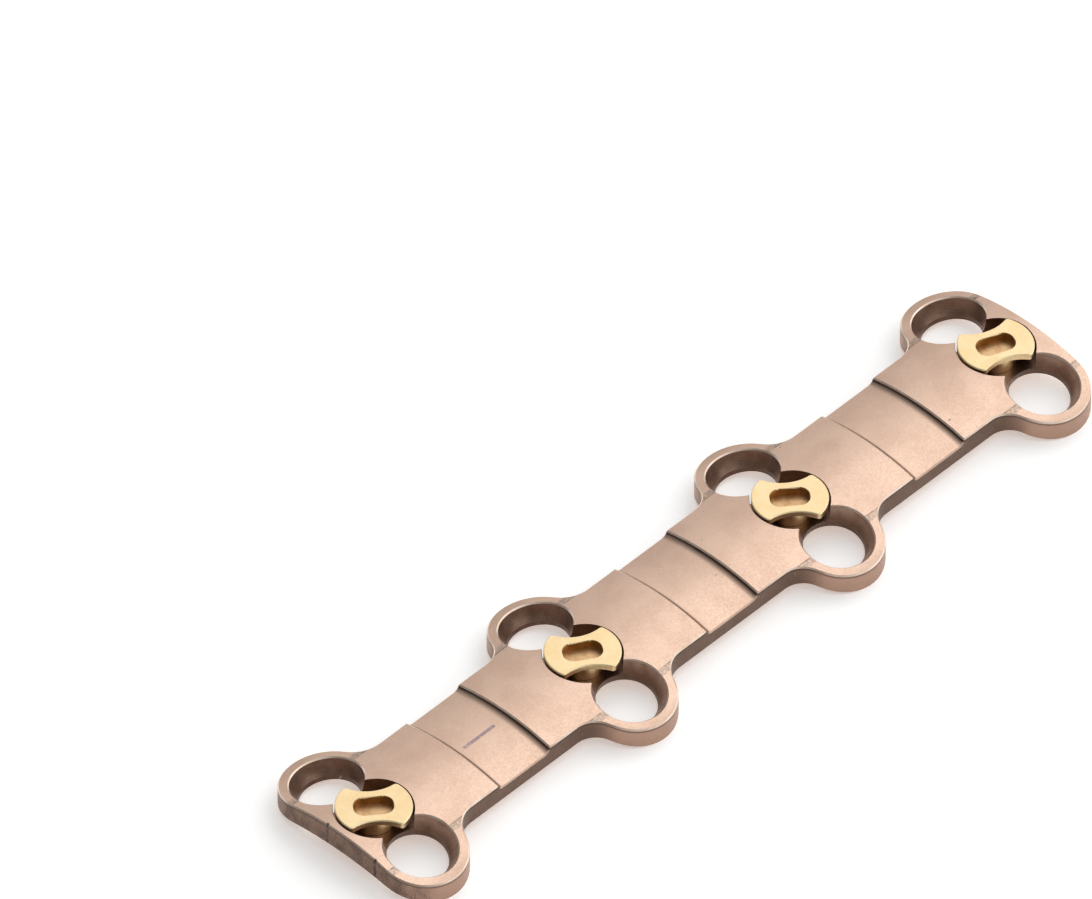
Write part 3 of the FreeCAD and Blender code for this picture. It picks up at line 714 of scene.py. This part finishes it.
def light_world(scene):
    """A white cove round the horizon, and above it a room that is lit from one side."""
    world = bpy.data.worlds.new("studio")
    scene.world = world
    world.use_nodes = True
    tree = world.node_tree
    tree.nodes.clear()
    towards = add_node(tree, "ShaderNodeTexCoord").outputs["Generated"]
    lit = add_node(tree, "ShaderNodeVectorMath", {"operation": "DOT_PRODUCT"}, {
        0: towards, 1: BRIGHT_SIDE}).outputs["Value"]
    level = add_node(tree, "ShaderNodeMapRange", None, {
        "Value": lit, "From Min": ROOM_COSINE[0], "From Max": ROOM_COSINE[1],
        "To Min": ROOM_STRENGTH[0], "To Max": ROOM_STRENGTH[1]})
    height = add_node(tree, "ShaderNodeSeparateXYZ", None, {"Vector": towards}).outputs["Z"]
    cove = ramp(tree, height, *COVE_TOP, 1.0, 0.0)
    strength = add_node(tree, "ShaderNodeMix", {"data_type": "FLOAT"}, {
        0: cove, 2: level.outputs["Result"], 3: COVE_STRENGTH}).outputs[0]
    light = add_node(tree, "ShaderNodeBackground", None, {
        "Color": linear("#ffffff"), "Strength": strength})
    add_node(tree, "ShaderNodeOutputWorld", None, {"Surface": light.outputs["Background"]})


def hang_lamp(sizes):
    """One large square lamp over the plate, turned to face it."""
    data = bpy.data.lights.new("key", "AREA")
    data.shape = "SQUARE"
    data.size = sizes.key_size
    data.energy = sizes.key_power
    lamp = bpy.data.objects.new("key", data)
    towards = Vector(sizes.key_direction).normalized()
    lamp.location = towards * sizes.key_distance
    lamp.rotation_mode = "QUATERNION"
    lamp.rotation_quaternion = towards.to_track_quat("Z", "Y")
    bpy.context.scene.collection.objects.link(lamp)


def place_camera(scene, sizes):
    """A long lens at the photograph's angle, with its frame moved right and up."""
    azimuth, elevation = sizes.azimuth, sizes.elevation
    back = Vector((
        math.sin(azimuth) * math.cos(elevation),
        -math.cos(azimuth) * math.cos(elevation),
        math.sin(elevation)))
    right = Vector((math.cos(azimuth), math.sin(azimuth), 0))
    up = back.cross(right)
    data = bpy.data.cameras.new("camera")
    data.lens = sizes.lens
    data.sensor_width = 36
    distance = sizes.view_width * data.lens / data.sensor_width
    target = Vector((0, 0, CAM_TOP)) + right * sizes.view_shift[0] + up * sizes.view_shift[1]
    camera = bpy.data.objects.new("camera", data)
    camera.location = target + back * distance
    camera.rotation_mode = "QUATERNION"
    camera.rotation_quaternion = (-back).to_track_quat("-Z", "Y")
    data.clip_start = 0.05
    data.clip_end = 10
    scene.collection.objects.link(camera)
    scene.camera = camera


class BONEPLATE_PT_panel(Panel):
    """Buttons and settings of the bone plate"""

    bl_label = "Bone plate"
    bl_idname = "BONEPLATE_PT_panel"
    bl_space_type = "VIEW_3D"
    bl_region_type = "UI"
    bl_category = "Bone plate"

    def draw(self, context):
        """List each operator with the settings it reads."""
        for operator, settings in GROUPS:
            box = self.layout.box()
            box.operator(operator.bl_idname)
            group = getattr(context.scene, settings)
            for name in group.bl_rna.properties.keys():
                if name not in {"rna_type", "name"}:
                    box.prop(group, name)


GROUPS = (
    (BONEPLATE_OT_plate, "bone_plate"),
    (BONEPLATE_OT_cams, "bone_cams"),
    (BONEPLATE_OT_stage, "bone_stage"),
)
CLASSES = (
    PlateSettings, CamSettings, StageSettings, BONEPLATE_OT_plate, BONEPLATE_OT_cams,
    BONEPLATE_OT_stage, BONEPLATE_PT_panel,
)


def register():
    """Add the classes and hang their settings on the scene."""
    for item in CLASSES:
        bpy.utils.register_class(item)
    bpy.types.Scene.bone_plate = PointerProperty(type=PlateSettings)
    bpy.types.Scene.bone_cams = PointerProperty(type=CamSettings)
    bpy.types.Scene.bone_stage = PointerProperty(type=StageSettings)


def unregister():
    """Take the settings and the classes away again."""
    for name in ("bone_stage", "bone_cams", "bone_plate"):
        delattr(bpy.types.Scene, name)
    for item in reversed(CLASSES):
        bpy.utils.unregister_class(item)


def main():
    """Build every piece in order."""
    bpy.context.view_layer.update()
    register()
    bpy.ops.bone_plate.stage()
    bpy.ops.bone_plate.plate()
    bpy.ops.bone_plate.cams()


if __name__ == "__main__":
    main()
